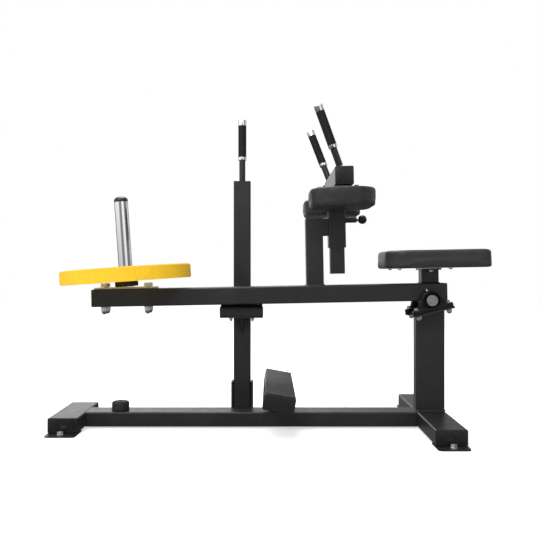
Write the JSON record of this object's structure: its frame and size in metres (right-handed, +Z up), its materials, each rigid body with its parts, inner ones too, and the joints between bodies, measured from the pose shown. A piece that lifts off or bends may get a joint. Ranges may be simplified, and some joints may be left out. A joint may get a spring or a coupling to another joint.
{
  "type": "seated calf raise machine",
  "caption": "Plate-loaded seated calf raise: a pivoted lever with seat, thigh pads and weight peg, over a floor frame with foot bar and catch post.",
  "frame": {"origin": "on the floor, at the middle of the bounding box in X and Y", "axes": "+Z up, +X towards the seat end, +Y towards the catch side"},
  "size_m": [1.4756, 0.756, 1.0813],
  "materials": {
    "powder_coat": "satin powder coat",
    "cast_housing": "black enamel",
    "zinc": "bright zinc plate",
    "chrome": "polished",
    "black_rubber": "matte",
    "grip_rubber": "matte",
    "black_plastic": "gloss",
    "vinyl": "satin vinyl over foam",
    "yellow_rubber": "matte, coloured through"
  },
  "bodies": {
    "frame": {"base_rail": "powder_coat", "front_foot_tube": "powder_coat", "rear_foot_tube": "powder_coat", "rubber_stop": "black_rubber", "anchor_plate_front_near": "powder_coat", "anchor_plate_front_far": "powder_coat", "anchor_plate_rear_near": "powder_coat", "anchor_plate_rear_far": "powder_coat", "anchor_bolt_front_near": "zinc", "anchor_bolt_front_far": "zinc", "anchor_bolt_rear_near": "zinc", "anchor_bolt_rear_far": "zinc", "rear_upright": "powder_coat", "bearing_plate": "powder_coat", "bearing_housing_near": "cast_housing", "bearing_housing_far": "cast_housing", "bearing_bolt_near_front": "zinc", "bearing_bolt_near_rear": "zinc", "bearing_bolt_far_front": "zinc", "bearing_bolt_far_rear": "zinc", "foot_bar": "powder_coat", "foot_tread": "black_rubber", "foot_bar_bracket": "powder_coat", "catch_bracket": "powder_coat", "catch_hinge_bolt": "zinc"},
    "lever": {"lever_beam": "powder_coat", "pivot_shaft": "zinc", "bearing_insert_near": "cast_housing", "bearing_insert_far": "cast_housing", "weight_peg": "chrome", "peg_cap": "black_plastic", "peg_stop_ring": "black_rubber", "peg_bolt_front_near": "zinc", "peg_bolt_front_far": "zinc", "peg_bolt_rear_near": "zinc", "peg_bolt_rear_far": "zinc", "pad_post": "powder_coat", "pad_sleeve": "powder_coat", "seat_mount": "powder_coat", "seat_cushion": "vinyl", "pin_barrel": "black_plastic"},
    "catch": {"catch_post": "powder_coat", "catch_shelf": "powder_coat", "catch_pad": "black_rubber", "catch_handle": "chrome", "catch_grip": "grip_rubber"},
    "thigh_pads": {"pad_slider": "powder_coat", "handle_crossbar": "powder_coat", "pad_plate_near": "powder_coat", "pad_plate_far": "powder_coat", "thigh_pad_near": "vinyl", "thigh_pad_far": "vinyl", "handle_rod_near": "chrome", "handle_rod_far": "chrome", "handle_grip_near": "grip_rubber", "handle_grip_far": "grip_rubber"},
    "pin": {"lock_pin": "chrome", "pin_knob": "black_plastic"},
    "weight": {"weight_plate": "yellow_rubber", "weight_plate_hub": "zinc"}
  },
  "joints": [
    {"name": "lever_pivot", "type": "hinge", "parent": "frame", "child": "lever", "pos_m": [0.5401, 0, 0.4387], "axis": [0, 1, 0], "range_deg": [0, 12]},
    {"name": "catch_hinge", "type": "hinge", "parent": "frame", "child": "catch", "pos_m": [-0.1052, 0.084, 0.032], "axis": [-1, 0, 0], "range_deg": [0, 18]},
    {"name": "pad_height", "type": "slide", "parent": "lever", "child": "thigh_pads", "axis": [-0.0189, 0, 0.9998], "range_m": [-0.035, 0.14]},
    {"name": "lock_pin_pull", "type": "slide", "parent": "lever", "child": "pin", "axis": [0.9998, 0, 0.0189], "range_m": [0, 0.01], "stiffness_N_per_m": 1000, "springref_m": -0.01},
    {"name": "weight_lift_off", "type": "slide", "parent": "lever", "child": "weight", "axis": [-0.0695, 0, 0.9976], "range_m": [0, 0.32]}
  ]
}
